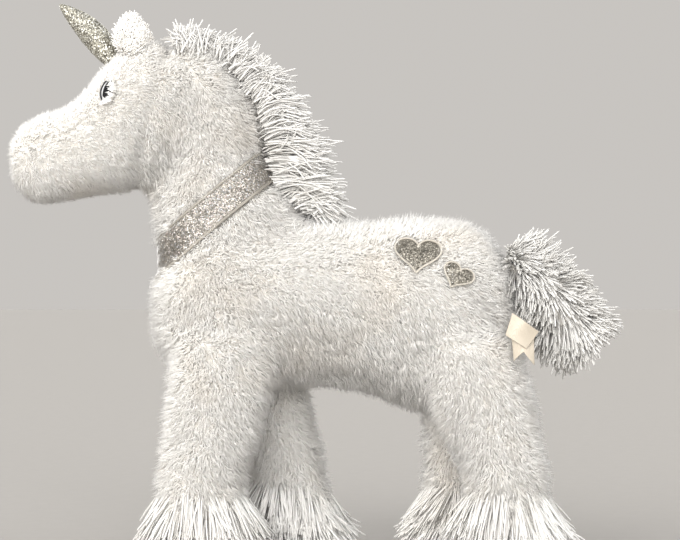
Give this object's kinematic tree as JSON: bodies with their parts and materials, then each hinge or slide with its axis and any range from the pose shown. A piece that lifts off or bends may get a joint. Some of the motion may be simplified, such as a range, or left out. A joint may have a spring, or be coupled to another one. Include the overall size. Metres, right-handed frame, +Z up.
{
  "type": "plush unicorn",
  "caption": "Standing plush unicorn with a glitter horn, a neck ribbon, long-pile mane, tail and foot cuffs; its legs, head, ears and tail bend at their seams.",
  "frame": {"origin": "on the ground under the middle of the toy's bounding box", "axes": "+Z up, -Y the way the unicorn faces, +X its left side"},
  "size_m": [0.148, 0.4867, 0.4631],
  "materials": {
    "pile_fabric": "warm off-white plush pile",
    "long_pile": "off-white yarn-like long pile",
    "stuffing": "white polyester fibre",
    "glitter_ribbon": "champagne and silver glitter ribbon",
    "glitter_fabric": "champagne and silver glitter fabric",
    "glitter_patch": "grey-champagne glitter fabric",
    "satin_stitch": "cream satin stitch",
    "eye_embroidery": "black and white embroidery thread",
    "satin_label": "cream satin",
    "sole_fabric": "off-white short plush",
    "ear_lining": "pale short plush"
  },
  "bodies": {
    "torso": {"body_panel_left": "pile_fabric", "body_panel_right": "pile_fabric", "belly_panel": "pile_fabric", "body_stuffing": "stuffing", "neck_ribbon": "glitter_ribbon", "mane": "long_pile", "heart_large": "glitter_patch", "heart_large_border": "satin_stitch", "heart_small": "glitter_patch", "heart_small_border": "satin_stitch"},
    "head": {"brow_panel": "pile_fabric", "head_panel_left": "pile_fabric", "head_panel_right": "pile_fabric", "head_stuffing": "stuffing", "eye_left": "eye_embroidery", "eye_right": "eye_embroidery"},
    "horn": {"horn_cover": "glitter_fabric", "horn_stuffing": "stuffing"},
    "ear_left": {"ear_left": "pile_fabric", "ear_left_lining": "ear_lining"},
    "ear_right": {"ear_right": "pile_fabric", "ear_right_lining": "ear_lining"},
    "front_left_leg": {"front_left_leg_cover": "pile_fabric", "front_left_leg_stuffing": "stuffing", "front_left_cuff": "long_pile", "front_left_sole": "sole_fabric"},
    "front_right_leg": {"front_right_leg_cover": "pile_fabric", "front_right_leg_stuffing": "stuffing", "front_right_cuff": "long_pile", "front_right_sole": "sole_fabric"},
    "hind_left_leg": {"hind_left_leg_cover": "pile_fabric", "hind_left_leg_stuffing": "stuffing", "hind_left_cuff": "long_pile", "hind_left_sole": "sole_fabric"},
    "hind_right_leg": {"hind_right_leg_cover": "pile_fabric", "hind_right_leg_stuffing": "stuffing", "hind_right_cuff": "long_pile", "hind_right_sole": "sole_fabric"},
    "tail": {"tail_cover": "long_pile", "tail_stuffing": "stuffing"},
    "label": {"satin_label": "satin_label"}
  },
  "joints": [
    {"name": "head_nod", "type": "hinge", "parent": "torso", "child": "head", "pos_m": [0, -0.16, 0.376], "axis": [1, 0, 0], "range_deg": [-12, 14], "stiffness_Nm_per_rad": 6},
    {"name": "horn_bend", "type": "hinge", "parent": "head", "child": "horn", "pos_m": [0, -0.1625, 0.4265], "axis": [1, 0, 0], "range_deg": [-12, 12], "stiffness_Nm_per_rad": 0.3},
    {"name": "ear_left_fold", "type": "hinge", "parent": "head", "child": "ear_left", "pos_m": [0.0215, -0.141, 0.4245], "axis": [0, 1, 0], "range_deg": [-8, 28], "stiffness_Nm_per_rad": 0.1},
    {"name": "ear_right_fold", "type": "hinge", "parent": "head", "child": "ear_right", "pos_m": [-0.0215, -0.141, 0.4245], "axis": [0, -1, 0], "range_deg": [-8, 28], "stiffness_Nm_per_rad": 0.1},
    {"name": "front_left_leg_swing", "type": "hinge", "parent": "torso", "child": "front_left_leg", "pos_m": [0.038, -0.066, 0.16], "axis": [1, 0, 0], "range_deg": [-14, 32], "stiffness_Nm_per_rad": 12},
    {"name": "front_right_leg_swing", "type": "hinge", "parent": "torso", "child": "front_right_leg", "pos_m": [-0.038, -0.046, 0.16], "axis": [1, 0, 0], "range_deg": [-32, 10], "stiffness_Nm_per_rad": 12},
    {"name": "hind_left_leg_swing", "type": "hinge", "parent": "torso", "child": "hind_left_leg", "pos_m": [0.038, 0.134, 0.16], "axis": [1, 0, 0], "range_deg": [-20, 10], "stiffness_Nm_per_rad": 12},
    {"name": "hind_right_leg_swing", "type": "hinge", "parent": "torso", "child": "hind_right_leg", "pos_m": [-0.038, 0.134, 0.16], "axis": [1, 0, 0], "range_deg": [-14, 28], "stiffness_Nm_per_rad": 12},
    {"name": "tail_lift", "type": "hinge", "parent": "torso", "child": "tail", "pos_m": [0, 0.171, 0.247], "axis": [1, 0, 0], "range_deg": [-6, 32], "stiffness_Nm_per_rad": 2},
    {"name": "label_flap", "type": "hinge", "parent": "torso", "child": "label", "pos_m": [0.068, 0.174, 0.208], "axis": [0, -0.9063, 0.4226], "range_deg": [0, 55], "stiffness_Nm_per_rad": 0.02}
  ]
}
